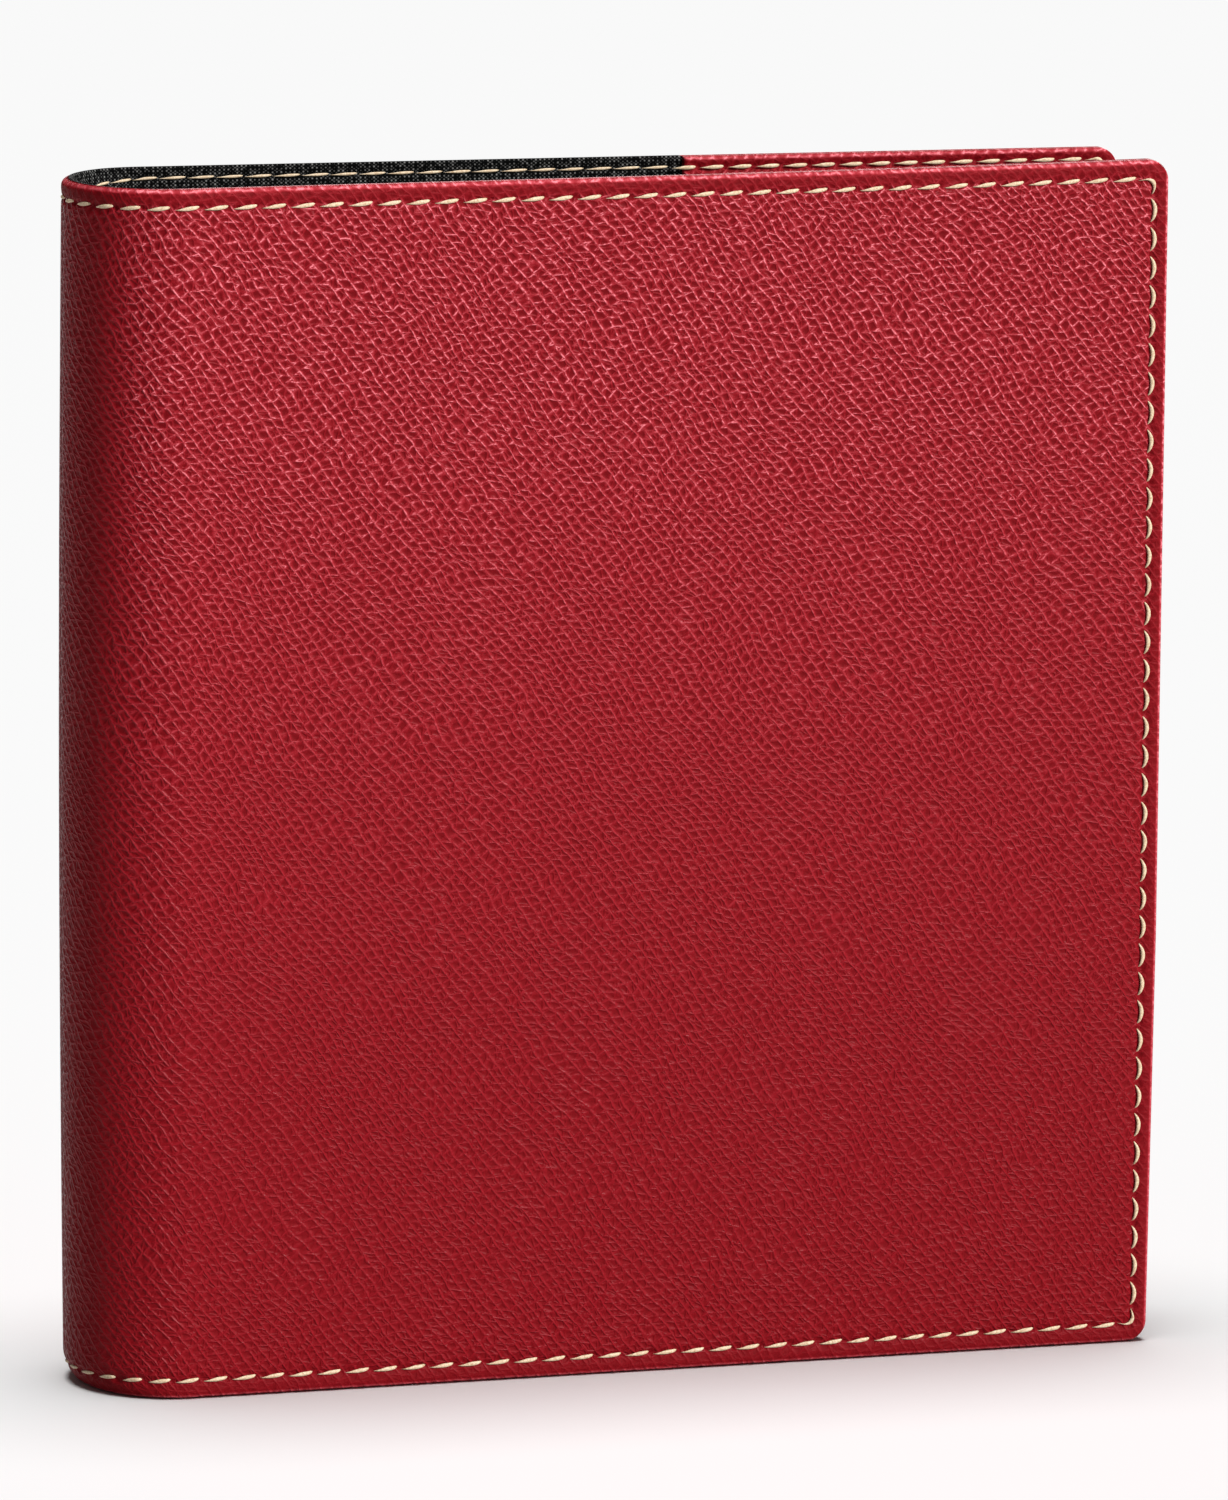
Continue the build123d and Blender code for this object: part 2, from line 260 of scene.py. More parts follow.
def lip(inset, radius):
    """How far a surface falls away at a rounded edge, at the distance inset from that edge."""
    short = np.clip(radius - inset, 0, radius)
    return radius - np.sqrt(np.maximum(radius**2 - short**2, 0))


def edge_spacing(length, step, both_ends):
    """Grid lines along a length, closer together beside its rounded and stitched ends."""
    fine = [0, 0.1, 0.25, 0.45, 0.7, 1.0, 1.35, 1.7, 2.0, 2.3, 2.6, 2.9, 3.2, 3.5, 3.9, 4.4, 5.1]
    fine = np.array(fine) * MM
    start = fine if both_ends else np.array([0.0])
    count = max(2, round((length - start[-1] - fine[-1]) / step))
    middle = np.linspace(start[-1], length - fine[-1], count + 1)
    return np.concatenate([start[:-1], middle, (length - fine[::-1])[1:]])


# Seam path and stitches


def seam_inset(side, s):
    """The seam's distance from the top or bottom edge, which is the same on both sides of the spine."""
    share = np.clip(s / SPINE_LENGTH, 0, 1)
    return SEAM_INSET[FRONT] + (SEAM_INSET[side] - SEAM_INSET[FRONT]) * share


def seam_path(side):
    """The seam as close (s, z) points: along the top, down the fore-edge and back along the bottom."""
    far = TOTAL_LENGTH - SEAM_SIDE_INSET
    run = np.arange(0, far - SEAM_CORNER, SEAM_STEP)
    top = np.stack([run, HEIGHT - seam_inset(side, run)], axis=1)
    inset = SEAM_INSET[side]
    angle = np.linspace(math.pi / 2, 0, 12)
    centre = (far - SEAM_CORNER, HEIGHT - inset - SEAM_CORNER)
    corner = centre + SEAM_CORNER * np.stack([np.cos(angle), np.sin(angle)], axis=1)
    levels = np.arange(HEIGHT - inset - SEAM_CORNER, HEIGHT / 2, -SEAM_STEP)
    down = np.stack([np.full_like(levels, far), levels], axis=1)
    upper = np.concatenate([top, corner, down])
    lower = upper[::-1] * [1, -1] + [0, HEIGHT]
    return np.concatenate([upper, lower])


def stitch_places(side):
    """The needle holes as distances along the seam, and the function that places a distance on it."""
    path = seam_path(side)
    steps = np.linalg.norm(np.diff(path, axis=0), axis=1)
    along = np.concatenate([[0], np.cumsum(steps)])
    count = round(along[-1] / STITCH_PITCH)
    holes = np.linspace(0, along[-1], count + 1)

    def at(distance):
        return np.stack([np.interp(distance, along, path[:, k]) for k in (0, 1)], axis=-1)

    return holes, at


def tube(points, across, up, radius, twist):
    """Vertices and faces of a closed two-ply thread, with its axes, radius and twist at each point."""
    around = np.linspace(0, 2 * math.pi, THREAD_SIDES, endpoint=False)
    plies = 1 + PLY_RELIEF * np.cos(2 * (around[None] - twist[:, None]))
    reach = (radius[:, None] * plies)[..., None]
    a, b = np.cos(around)[None, :, None], np.sin(around)[None, :, None]
    rings = points[:, None] + reach * (a * across[:, None] + THREAD_FLATNESS * b * up[:, None])
    faces = []
    for ring in range(len(points) - 1):
        low = ring * THREAD_SIDES
        for k in range(THREAD_SIDES):
            n = (k + 1) % THREAD_SIDES
            faces.append((low + k, low + n, low + THREAD_SIDES + n, low + THREAD_SIDES + k))
    faces.append(tuple(reversed(range(THREAD_SIDES))))
    last = (len(points) - 1) * THREAD_SIDES
    faces.append(tuple(last + k for k in range(THREAD_SIDES)))
    return rings.reshape(-1, 3), faces


def stitch(side, start, end, at, depth, outward, thick, share):
    """One stitch, fuller towards its upper end and tapered into its two holes.

    outward is 1 on the outside of the jacket and -1 on the inside.
    """
    t = np.linspace(-1, 1, STITCH_RINGS)
    half = (end - start) / 2 * share
    centre = at((start + end) / 2 + t * half)
    tangent = centre[-1] - centre[0]
    tangent /= np.linalg.norm(tangent)
    beside = np.array([tangent[1], -tangent[0]])
    down = abs(tangent[1])
    rise = -side * outward * np.sign(tangent[0]) * t  # from -1 at its left end to 1 at its right end
    slant = math.tan(STITCH_SLANT) * (1.0 if outward > 0 else BOBBIN_SLANT)
    shift = down * STITCH_BULGE * (t**2 - 0.3) - (1 - down) * half * slant * rise
    centre = centre + shift[:, None] * beside * np.where(down > 0.5, 1, np.sign(tangent[0]))
    s, z = centre[:, 0], centre[:, 1]
    proud = np.interp(s, (0.6 * SPINE_LENGTH, SPINE_LENGTH), (PROUD_SPINE, PROUD_COVER))
    level = depth - outward * thick * (proud - HOLE_DIVE * np.abs(t) ** 5)
    points = jacket_points(side, s, z, level)
    sideways = jacket_points(side, s + beside[0] * MM, z + beside[1] * MM, level)
    above = jacket_points(side, s, z, level - outward * MM)
    skew = t - STITCH_SKEW * (1 - t**2) * np.sign(rise[-1])
    radius = thick * np.maximum(1 - np.abs(skew) ** STITCH_TAPER[0], STITCH_END) ** STITCH_TAPER[1]
    return tube(points, (sideways - points) / MM, (above - points) / MM, radius, THREAD_TWIST * t)


def new_mesh(name, vertices, faces):
    """A new object in the row frame, made from arrays."""
    mesh = bpy.data.meshes.new(name)
    mesh.from_pydata(np.asarray(vertices).tolist(), [], [tuple(map(int, f)) for f in faces])
    mesh.update()
    mesh.validate()
    mesh.polygons.foreach_set("use_smooth", [True] * len(mesh.polygons))
    piece = bpy.data.objects.new(name, mesh)
    bpy.context.scene.collection.objects.link(piece)
    return piece


def consistent_normals(piece):
    """Turn all faces of a closed mesh outwards."""
    shape = bmesh.new()
    shape.from_mesh(piece.data)
    bmesh.ops.recalc_face_normals(shape, faces=shape.faces)
    shape.to_mesh(piece.data)
    shape.free()


def layer(name, side, s_lines, z_lines, outer_depth, inner_depth):
    """A closed sheet on the jacket between two depths, each a function of (s, z, inset).

    The mesh's UV map holds s and z in millimetres, with s negative on the back, so that the two halves
    join at the spine. Its rim faces use material slot 1.
    """
    s, z, inset = rounded_corners(*np.meshgrid(s_lines, z_lines, indexing="ij"))
    rows, columns = s.shape
    outer = jacket_points(side, s, z, outer_depth(s, z, inset)).reshape(-1, 3)
    inner = jacket_points(side, s, z, inner_depth(s, z, inset)).reshape(-1, 3)
    index = np.arange(rows * columns).reshape(rows, columns)
    quads = np.stack([index[:-1, :-1], index[1:, :-1], index[1:, 1:], index[:-1, 1:]], axis=-1)
    quads = quads.reshape(-1, 4)
    total = rows * columns
    rim = np.concatenate([index[:, 0], index[-1, 1:], index[-2::-1, -1], index[0, -2:0:-1]])
    following = np.roll(rim, -1)
    walls = np.stack([rim, following, following + total, rim + total], axis=-1)
    faces = np.concatenate([quads, quads[:, ::-1] + total, walls])
    piece = new_mesh(name, np.concatenate([outer, inner]), faces)
    uv_places = np.stack([-side * s.ravel(), z.ravel()], axis=1) / MM
    uv_places = np.concatenate([uv_places, uv_places])
    uv = piece.data.uv_layers.new(name="surface")
    corners = np.empty(len(piece.data.loops), int)
    piece.data.loops.foreach_get("vertex_index", corners)
    uv.data.foreach_set("uv", uv_places[corners].astype(np.float32).ravel())
    slots = np.zeros(len(faces), int)
    slots[-len(walls):] = 1
    piece.data.polygons.foreach_set("material_index", slots)
    joined = (walls[:, :2] < columns).all(axis=1)  # the faces that meet the other half at the spine
    smooth = np.ones(len(faces), bool)
    smooth[-len(walls):] = ~joined
    piece.data.polygons.foreach_set("use_smooth", smooth)
    consistent_normals(piece)
    return piece


def near_holes(side, s, z):
    """How strongly each place is pulled in by the nearest needle hole, from 0 to 1."""
    holes, at = stitch_places(side)
    spots = at(holes)
    pull = np.zeros(s.shape)
    for spot in spots:
        close = (np.abs(s - spot[0]) < HOLE_REACH) & (np.abs(z - spot[1]) < HOLE_REACH)
        gap = np.hypot(s[close] - spot[0], z[close] - spot[1])
        pull[close] = np.maximum(pull[close], np.exp(-((gap / HOLE_WIDTH) ** 2)))
    return pull


def near_seam(side, s, z):
    """How close each place is to the seam's line, from 0 to 1."""
    inset = seam_inset(side, s)
    level_gap = np.minimum(np.abs(z - inset), np.abs(HEIGHT - z - inset))
    level_gap = np.where(s > TOTAL_LENGTH - SEAM_SIDE_INSET, np.inf, level_gap)
    outside = (z < SEAM_INSET[side]) | (z > HEIGHT - SEAM_INSET[side])
    upright_gap = np.where(outside, np.inf, np.abs(TOTAL_LENGTH - s - SEAM_SIDE_INSET))
    gap = np.minimum(level_gap, upright_gap)
    return np.exp(-((gap / GROOVE_WIDTH) ** 2))


# Materials


def material(name):
    """A node material with only its Principled shader; returns it with its tree and shader."""
    made = bpy.data.materials.new(name)
    made.use_nodes = True
    return made, made.node_tree, made.node_tree.nodes["Principled BSDF"]


def node(tree, kind, links=None, **settings):
    """Add a node, set its settings, and link or set its inputs by name or number."""
    made = tree.nodes.new(kind)
    for key, value in settings.items():
        setattr(made, key, value)
    for key, value in (links or {}).items():
        if isinstance(value, bpy.types.NodeSocket):
            tree.links.new(value, made.inputs[key])
        else:
            made.inputs[key].default_value = value
    return made


def math_node(tree, operation, first, second=0.0):
    return node(tree, "ShaderNodeMath", {0: first, 1: second}, operation=operation).outputs[0]


def plus(tree, first, second):
    return math_node(tree, "ADD", first, second)


def minus(tree, first, second):
    return math_node(tree, "SUBTRACT", first, second)


def times(tree, first, second):
    return math_node(tree, "MULTIPLY", first, second)


def vector_node(tree, operation, links, output="Vector"):
    return node(tree, "ShaderNodeVectorMath", links, operation=operation).outputs[output]


def surface_places(tree):
    """Millimetres along and up the surface of a piece that layer() made."""
    return node(tree, "ShaderNodeUVMap", uv_map="surface").outputs["UV"]


def noise_value(tree, places, scale, detail):
    inputs = {"Vector": places, "Scale": scale, "Detail": detail}
    return node(tree, "ShaderNodeTexNoise", inputs).outputs["Fac"]


def ramp(tree, value, stops):
    """A colour ramp through (position, colour) stops."""
    made = node(tree, "ShaderNodeValToRGB", {"Fac": value})
    elements = made.color_ramp.elements
    while len(elements) < len(stops):
        elements.new(0.5)
    for element, (position, colour) in zip(elements, stops):
        element.position = position
        element.color = (*colour, 1)
    return made.outputs["Color"]


def dot(tree, vector, weights):
    return vector_node(tree, "DOT_PRODUCT", {0: vector, 1: (*weights, 0)}, "Value")


def centred_noise(tree, places, wavelength, amount):
    """A smooth random vector about zero that changes over the given wavelength in millimetres."""
    noise = node(tree, "ShaderNodeTexNoise", {"Vector": places, "Scale": 1 / wavelength, "Detail": 1.0})
    centred = vector_node(tree, "SUBTRACT", {0: noise.outputs["Color"], 1: (0.5, 0.5, 0.5)})
    return vector_node(tree, "SCALE", {0: centred, "Scale": amount})


def fade(tree, value, start, end, high=1.0, low=0.0):
    """A smooth change from high at start to low at end."""
    limits = {"Value": value, "From Min": start, "From Max": end, "To Min": high, "To Max": low}
    return node(tree, "ShaderNodeMapRange", limits, interpolation_type="SMOOTHSTEP").outputs[0]


def colour_and_relief(tree, shader, colour, height, strength, depth):
    bump = node(tree, "ShaderNodeBump", {"Height": height, "Strength": strength, "Distance": depth})
    tree.links.new(colour, shader.inputs["Base Color"])
    tree.links.new(bump.outputs[0], shader.inputs["Normal"])


def grain_cells(tree, places):
    """How near a place is to a long and to a cross ridge of the skewed net: 0 on it, 0.5 furthest off.

    It also returns the wandering places that the net is laid on.
    """
    warped = places
    for wavelength, amount in GRAIN_WANDER:
        wander = centred_noise(tree, places, wavelength, amount)
        warped = vector_node(tree, "ADD", {0: warped, 1: wander})
    a, b = ((math.cos(angle), math.sin(angle)) for angle in GRAIN_ANGLES)
    area = (a[0] * b[1] - a[1] * b[0]) * GRAIN_CELL
    across = dot(tree, warped, (-a[1] / area, a[0] / area))
    down = dot(tree, warped, (b[1] / area, -b[0] / area))
    column = math_node(tree, "FLOOR", across)
    shift = node(tree, "ShaderNodeTexWhiteNoise", {"W": column}, noise_dimensions="1D").outputs["Value"]
    down = plus(tree, down, times(tree, shift, GRAIN_STAGGER))
    row = math_node(tree, "FLOOR", down)
    cell = node(tree, "ShaderNodeCombineXYZ", {"X": column, "Y": row}).outputs[0]
    chance = node(tree, "ShaderNodeTexWhiteNoise", {"Vector": cell}, noise_dimensions="2D")
    lean = times(tree, minus(tree, chance.outputs["Value"], 0.5), GRAIN_LEAN)
    inside = minus(tree, math_node(tree, "FRACT", across), 0.5)
    crossing = plus(tree, down, times(tree, lean, inside))
    long_ridge = math_node(tree, "PINGPONG", across, 0.5)
    cross_ridge = math_node(tree, "PINGPONG", crossing, 0.5)
    return long_ridge, cross_ridge, warped


def leather_material():
    """Red leatherette, embossed with a skewed net of cells.

    Long ridges run steeply down to the fore-edge and shorter ones cross them, rising slightly. The
    grain is pressed flat beyond the seam. The colour holds painted light: painted shade in the cells,
    painted highlights on the ridges, weaker towards the bottom and over the round spine, and a painted
    highlight along the fold of the edge.
    """
    made, tree, shader = material("red_leatherette")
    places = surface_places(tree)
    long_ridge, cross_ridge, warped = grain_cells(tree, places)
    strength = noise_value(tree, places, *RIDGE_NOISE)
    long_line = fade(tree, long_ridge, 0.0, LONG_RIDGE)
    long_line = times(tree, long_line, fade(tree, strength, *LONG_PRESENCE))
    cross_line = fade(tree, cross_ridge, 0.0, CROSS_RIDGE)
    cross_line = times(tree, cross_line, fade(tree, strength, *CROSS_PRESENCE))
    folds = {"Vector": warped, "Scale": FACET_SCALE}
    facets = node(tree, "ShaderNodeTexVoronoi", folds, feature="DISTANCE_TO_EDGE").outputs["Distance"]
    facet = times(tree, fade(tree, facets, 0.0, FACET_WIDTH), FACET_STRENGTH)
    line = math_node(tree, "MAXIMUM", math_node(tree, "MAXIMUM", long_line, cross_line), facet)
    shoulders = [fade(tree, ridge, 0.0, SHOULDER) for ridge in (long_ridge, cross_ridge)]
    shoulder = math_node(tree, "MAXIMUM", *shoulders)

    split = node(tree, "ShaderNodeSeparateXYZ", {0: places})
    height = split.outputs[1]
    from_spine = math_node(tree, "ABSOLUTE", split.outputs[0])
    from_top = math_node(tree, "PINGPONG", height, HEIGHT / MM / 2)
    rim = math_node(tree, "MINIMUM", from_top, minus(tree, TOTAL_LENGTH / MM, from_spine))
    pressed = fade(tree, rim, *PRESSED_GRAIN)
    # A painted highlight along the fold of the edge.
    lip_highlight = times(tree, fade(tree, rim, *PAINTED_LIP_HIGHLIGHT_BAND), fade(tree, rim, *PAINTED_LIP_HIGHLIGHT_EDGE))
    line = times(tree, line, pressed)
    shoulder = times(tree, shoulder, pressed)

    # Painted highlight on the ridges, strong and weak in patches.
    highlight_patch_noise = noise_value(tree, places, *PAINTED_HIGHLIGHT_NOISE)
    painted_highlight = times(tree, line, fade(tree, highlight_patch_noise, *PAINTED_HIGHLIGHT_PATCHES))
    # It is weaker towards the bottom, as the light falls from above.
    painted_highlight = times(tree, painted_highlight, fade(tree, height, *PAINTED_LIGHT_HEIGHTS, *PAINTED_HIGHLIGHT_BY_HEIGHT))
    # and it is weak over the round spine, which lies in shade.
    painted_highlight = times(tree, painted_highlight, fade(tree, from_spine, *SHADED_SPINE_HIGHLIGHT_FADE))
    pores = noise_value(tree, places, *PORE_NOISE)
    # The ridges' shoulders lighten the colour and leave the cells darker: partly the grain's own
    # colour, partly painted relief shade, laid on less towards the bottom, where an even lift of the
    # colour makes up for it.
    tone = times(tree, shoulder, fade(tree, height, *PAINTED_LIGHT_HEIGHTS, *PAINTED_RELIEF_SHADE_BY_HEIGHT))
    tone = plus(tree, tone, fade(tree, height, *PAINTED_LIGHT_HEIGHTS, *RELIEF_SHADE_OFFSET_BY_HEIGHT))
    # the painted highlight on the ridges lightens the colour
    tone = plus(tree, tone, times(tree, painted_highlight, PAINTED_HIGHLIGHT_TONE))
    tone = plus(tree, tone, times(tree, minus(tree, pores, 0.5), PORE_TONE))
    # the painted highlight along the fold of the edge lightens the colour
    tone = plus(tree, tone, times(tree, lip_highlight, PAINTED_LIP_HIGHLIGHT_TONE))
    relief = plus(tree, times(tree, shoulder, SHOULDER_RELIEF), times(tree, line, LINE_RELIEF))
    relief = plus(tree, relief, times(tree, pores, PORE_RELIEF))
    colour_and_relief(tree, shader, ramp(tree, tone, LEATHER_TONES), relief, 1.0, GRAIN_DEPTH)
    tree.links.new(fade(tree, line, *LEATHER_ROUGHNESS), shader.inputs["Roughness"])
    shader.inputs["Specular IOR Level"].default_value = LEATHER_SPECULAR
    return made


def woven_material(name, dark, light, pitch, own_map):
    """Plain-woven cloth with ribs at the given pitch in millimetres.

    own_map says that its pieces were made by layer(), and so have a map of their surface.
    """
    made, tree, shader = material(name)
    if own_map:
        places = surface_places(tree)
        split = node(tree, "ShaderNodeSeparateXYZ", {0: places})
        u, v = split.outputs[0], split.outputs[1]
        wear_scale = 1.1
    else:
        places = node(tree, "ShaderNodeTexCoord").outputs["Object"]
        split = node(tree, "ShaderNodeSeparateXYZ", {0: places})
        u = times(tree, plus(tree, split.outputs[0], split.outputs[1]), 1 / MM)
        v = times(tree, split.outputs[2], 1 / MM)
        wear_scale = 900.0
    rib = math_node(tree, "SINE", times(tree, u, 2 * math.pi / pitch))
    weft = math_node(tree, "SINE", times(tree, v, 2 * math.pi / (pitch * WEFT_PITCH)))
    woven = times(tree, rib, weft)
    height = plus(tree, times(tree, woven, 0.35), times(tree, rib, 0.15))
    height = plus(tree, height, 0.5)
    wear = noise_value(tree, places, wear_scale, 2.0)
    speck = times(tree, height, fade(tree, wear, 0.35, 0.65, 0.55, 1.05))
    colour = ramp(tree, speck, [(0.45, dark), (0.95, light)])
    colour_and_relief(tree, shader, colour, height, 0.8, 0.12 * MM)
    shader.inputs["Roughness"].default_value = 0.85
    shader.inputs["Specular IOR Level"].default_value = 0.04
    return made


def fibrous_material(name, dark, light, roughness, fibres, stops, relief, alpha=1.0):
    """A material with fine fibres.

    fibres holds the scale and detail of their noise, stops the places of the dark and the light colour
    in it, and relief its strength and its depth in millimetres.
    """
    made, tree, shader = material(name)
    places = node(tree, "ShaderNodeTexCoord").outputs["Object"]
    noise = noise_value(tree, places, *fibres)
    colour = ramp(tree, noise, list(zip(stops, (dark, light))))
    colour_and_relief(tree, shader, colour, noise, relief[0], relief[1] * MM)
    shader.inputs["Roughness"].default_value = roughness
    shader.inputs["Alpha"].default_value = alpha
    return made


BACKING_FIBRES = {"fibres": (2500.0, 3.0), "stops": (0.3, 0.7), "relief": (0.4, 0.05)}
THREAD_FIBRES = {"fibres": (3000.0, 2.0), "stops": (0.3, 0.65), "relief": (0.4, 0.04)}
SHEET_FIBRES = {"fibres": (900.0, 4.0), "stops": (0.35, 0.65), "relief": (0.15, 0.03)}
BACKING_TONES = (0.085, 0.012, 0.010), (0.20, 0.030, 0.024)
LINING_TONES = (0.0008, 0.0008, 0.0008), (0.150, 0.146, 0.140)
BOOK_CLOTH_TONES = (0.004, 0.004, 0.004), (0.03, 0.03, 0.032)
THREAD_TONES = (0.36, 0.24, 0.13), (0.56, 0.45, 0.31)
CARD_TONES = (0.010, 0.010, 0.011), (0.022, 0.022, 0.024)
BOARD_TONES = (0.22, 0.21, 0.20), (0.34, 0.33, 0.31)
FILM_TONES = (0.80, 0.84, 0.88), (0.86, 0.89, 0.92)
GLASSINE_TONES = (0.74, 0.72, 0.65), (0.84, 0.82, 0.76)

LEATHERETTE = leather_material()
CUT_EDGE = fibrous_material("leather_cut_edge", *BACKING_TONES, 0.75, **BACKING_FIBRES)
LINING_CLOTH = woven_material("black_lining", *LINING_TONES, pitch=0.78, own_map=True)
BOOK_CLOTH = woven_material("black_book_cloth", *BOOK_CLOTH_TONES, pitch=0.45, own_map=False)
THREAD = fibrous_material("cream_thread", *THREAD_TONES, 0.6, **THREAD_FIBRES)
CARD = fibrous_material("black_card", *CARD_TONES, 0.62, **SHEET_FIBRES)
GREY_BOARD = fibrous_material("grey_board", *BOARD_TONES, 0.85, **SHEET_FIBRES)
FILM = fibrous_material("clear_film", *FILM_TONES, 0.10, **SHEET_FIBRES, alpha=0.13)
GLASSINE = fibrous_material("glassine", *GLASSINE_TONES, 0.38, **SHEET_FIBRES, alpha=0.72)


def paint(piece, *materials):
    piece.data.materials.clear()
    for made in materials:
        piece.data.materials.append(made)


# Jacket


def spine_to_cover(piece):
    """Bake a piece's transform into its mesh; the jacket's shape already holds the bend where the round
    spine meets a cover.
    """
    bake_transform(piece)


def skiving(s, inset):
    """How much the leather is thinned beside the ends of the spine, where its edge is turned."""
    at_edge = np.interp(inset, SKIVED_EDGE, (1, 0))
    return SKIVING * at_edge * np.clip((SPINE_LENGTH - s) / SKIVED_SPINE, 0, 1)


def make_leather(side):
    """One half of the leatherette skin, from the middle of the spine to the fore-edge."""

    def outer(s, z, inset):
        swell = SWELL * np.sin(s / SWELL_WAVES[0]) * np.sin(z / SWELL_WAVES[1] + 1)
        swell = swell * np.clip((inset - SWELL_MARGIN) / SWELL_GROWTH, 0, 1)
        swell = swell * np.clip(s / SWELL_START, 0, 1)
        pulled = GROOVE_DEPTH * near_seam(side, s, z) + HOLE_DEPTH * near_holes(side, s, z)
        return lip(inset, LIP_RADIUS) + pulled + np.abs(swell)

    def inner(s, z, inset):
        return LEATHER - skiving(s, inset)

    name = SIDE_NAMES[side]
    s_lines = edge_spacing(TOTAL_LENGTH, LEATHER_GRID, both_ends=False)
    z_lines = edge_spacing(HEIGHT, LEATHER_GRID, both_ends=True)
    piece = layer(f"{name}_leather_skin", side, s_lines, z_lines, outer, inner)
    paint(piece, LEATHERETTE, CUT_EDGE)
    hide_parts(f"{name}_cover_leather", "spine_leather")
    spine_to_cover(piece)
    return piece


def make_lining(side):
    """One half of the lining cloth, glued to the inside of the leatherette."""

    def outer(s, z, inset):
        return LEATHER + GLUE_GAP - skiving(s, inset)

    def inner(s, z, inset):
        fall = LINING_FALL * np.exp(-((inset / LINING_FALL_WIDTH) ** 2))
        return WALL - skiving(s, inset) - fall - LINING_RIB * near_seam(side, s, z)

    name = SIDE_NAMES[side]
    s_lines = edge_spacing(TOTAL_LENGTH, LINING_GRID, both_ends=False)
    z_lines = edge_spacing(HEIGHT, LINING_GRID, both_ends=True)
    piece = layer(f"{name}_lining_cloth", side, s_lines, z_lines, outer, inner)
    places = np.empty(3 * len(piece.data.vertices))
    piece.data.vertices.foreach_get("co", places)
    places = places.reshape(-1, 3)
    hidden = {FRONT: (LOW[0], HINGE_X), BACK: (FLAP_X, FLAP_X + MM)}[side]
    rise = LINING_RISE - LINING_DROP * np.interp(places[:, 0], hidden, (0, 1))
    places[:, 2] *= 1 + rise / HEIGHT
    piece.data.vertices.foreach_set("co", places.ravel())
    paint(piece, LINING_CLOTH, LINING_CLOTH)
    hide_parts(f"{name}_cover_lining", "spine_lining")
    spine_to_cover(piece)


def flap_depth(inset):
    """The page side of a pocket flap: low where the seam holds it, and raised over the pocket."""
    rise = np.interp(inset, POCKET_EDGE, (0, 1))
    rise = rise * rise * (3 - 2 * rise)
    return WALL + FLAP + POCKET_RISE * rise


def make_flap(side):
    """A pocket flap of the same leatherette, with a rounded free edge that faces the spine."""

    def lower(s, z, inset):
        return flap_depth(inset) - FLAP + GLUE_GAP

    def upper(s, z, inset):
        free_edge = s - FLAP_START
        fall = lip(np.minimum(inset, free_edge), FLAP_LIP)
        pulled = GROOVE_DEPTH * near_seam(side, s, z) + FLAP_HOLE * HOLE_DEPTH * near_holes(side, s, z)
        return flap_depth(inset) - fall - pulled

    name = SIDE_NAMES[side]
    length = TOTAL_LENGTH - FLAP_START
    s_lines = FLAP_START + edge_spacing(length, LEATHER_GRID, both_ends=True)
    z_lines = edge_spacing(HEIGHT, LEATHER_GRID, both_ends=True)
    piece = layer(f"{name}_flap_leather", side, s_lines, z_lines, lower, upper)
    paint(piece, LEATHERETTE, LEATHERETTE)
    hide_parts(f"{name}_pocket_flap")
    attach(piece, f"{name}_cover")


def make_seam(side):
    """The seam's stitches: needle thread on the outside and bobbin thread on the inside."""
    holes, at = stitch_places(side)
    vertices, faces = [], []
    total = 0
    for start, end in zip(holes[:-1], holes[1:]):
        needle = (GROOVE_DEPTH, 1, NEEDLE_RADIUS, NEEDLE_SHARE)
        bobbin = (WALL, -1, BOBBIN_RADIUS, BOBBIN_SHARE)
        if at((start + end) / 2)[0] > FLAP_START:
            bobbin = (WALL + FLAP + GROOVE_DEPTH, -1, NEEDLE_RADIUS, NEEDLE_SHARE)
        for depth, outward, thick, share in (needle, bobbin):
            points, rings = stitch(side, start, end, at, depth, outward, thick, share)
            vertices.append(points)
            faces += [tuple(total + k for k in face) for face in rings]
            total += len(points)
    piece = new_mesh(f"{SIDE_NAMES[side]}_seam_stitches", np.concatenate(vertices), faces)
    consistent_normals(piece)
    paint(piece, THREAD)
    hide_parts(f"{SIDE_NAMES[side]}_seam_thread", "spine_seam_thread")
    spine_to_cover(piece)


for side in (FRONT, BACK):
    skin = make_leather(side)
    make_lining(side)
    make_flap(side)
    make_seam(side)


# Stock book


def cloth_strip(name, line, half_thickness):
    """A closed strip of cloth along a line of (x, y) points, as high as the leaves.

    It returns the piece and its flat size.
    """
    parts, heights = STRIP_GRID
    line = np.asarray(line, float)
    steps = np.concatenate([[0], np.cumsum(np.linalg.norm(np.diff(line, axis=0), axis=1))])
    spread = np.linspace(0, steps[-1], parts)
    centre = np.stack([np.interp(spread, steps, line[:, k]) for k in (0, 1)], axis=1)
    along = np.gradient(centre, axis=0)
    along /= np.linalg.norm(along, axis=1)[:, None]
    across = np.stack([-along[:, 1], along[:, 0]], axis=1) * half_thickness
    ring = np.concatenate([centre + across, (centre - across)[::-1]])
    levels = np.linspace(LEAF_LOW_Z, LEAF_HIGH_Z, heights)
    count = len(ring)
    vertices = [(x, y, z) for z in levels for x, y in ring]
    faces = []
    for k in range(len(levels) - 1):
        for i in range(count):
            n = (i + 1) % count
            faces.append((k * count + i, k * count + n, (k + 1) * count + n, (k + 1) * count + i))
    for base in (0, (len(levels) - 1) * count):
        for i in range(parts - 1):
            faces.append((base + i, base + i + 1, base + count - 2 - i, base + count - 1 - i))
    piece = new_mesh(name, vertices, faces)
    consistent_normals(piece)
    paint(piece, BOOK_CLOTH)
    return piece, (steps[-1], LEAF_HIGH_Z - LEAF_LOW_Z)


